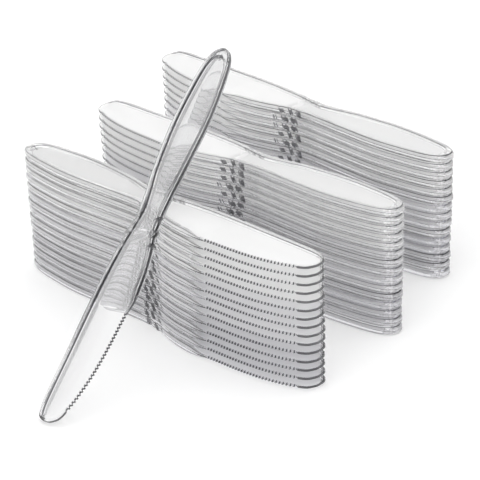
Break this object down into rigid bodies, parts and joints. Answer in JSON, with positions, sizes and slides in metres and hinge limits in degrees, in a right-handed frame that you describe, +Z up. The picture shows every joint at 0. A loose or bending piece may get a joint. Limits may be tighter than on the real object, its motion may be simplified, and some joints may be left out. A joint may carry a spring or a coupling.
{
  "type": "disposable knife pack",
  "caption": "Clear plastic table knives with channelled handles and serrated edges, lying in three stacks, with one knife leaning on the front stack.",
  "frame": {"origin": "bottom centre of the bounding box of the whole pack, on the ground", "axes": "+X along the front stack from its handles to its blades, +Y from the front stack toward the back stack, +Z up"},
  "size_m": [0.23, 0.2186, 0.1096],
  "materials": {
    "clear_plastic": "clear, colourless, polished"
  },
  "bodies": {
    "root": {"back_stack_knife_01": "clear_plastic", "back_stack_knife_02": "clear_plastic", "back_stack_knife_03": "clear_plastic", "back_stack_knife_04": "clear_plastic", "back_stack_knife_05": "clear_plastic", "back_stack_knife_06": "clear_plastic", "back_stack_knife_07": "clear_plastic", "back_stack_knife_08": "clear_plastic", "back_stack_knife_09": "clear_plastic", "back_stack_knife_10": "clear_plastic", "back_stack_knife_11": "clear_plastic", "back_stack_knife_12": "clear_plastic", "back_stack_knife_13": "clear_plastic", "back_stack_knife_14": "clear_plastic", "back_stack_knife_15": "clear_plastic", "front_stack_knife_01": "clear_plastic", "front_stack_knife_02": "clear_plastic", "front_stack_knife_03": "clear_plastic", "front_stack_knife_04": "clear_plastic", "front_stack_knife_05": "clear_plastic", "front_stack_knife_06": "clear_plastic", "front_stack_knife_07": "clear_plastic", "front_stack_knife_08": "clear_plastic", "front_stack_knife_09": "clear_plastic", "front_stack_knife_10": "clear_plastic", "front_stack_knife_11": "clear_plastic", "front_stack_knife_12": "clear_plastic", "front_stack_knife_13": "clear_plastic", "front_stack_knife_14": "clear_plastic", "front_stack_knife_15": "clear_plastic", "leaning_knife": "clear_plastic", "middle_stack_knife_01": "clear_plastic", "middle_stack_knife_02": "clear_plastic", "middle_stack_knife_03": "clear_plastic", "middle_stack_knife_04": "clear_plastic", "middle_stack_knife_05": "clear_plastic", "middle_stack_knife_06": "clear_plastic", "middle_stack_knife_07": "clear_plastic", "middle_stack_knife_08": "clear_plastic", "middle_stack_knife_09": "clear_plastic", "middle_stack_knife_10": "clear_plastic", "middle_stack_knife_11": "clear_plastic", "middle_stack_knife_12": "clear_plastic", "middle_stack_knife_13": "clear_plastic", "middle_stack_knife_14": "clear_plastic", "middle_stack_knife_15": "clear_plastic"}
  },
  "joints": []
}
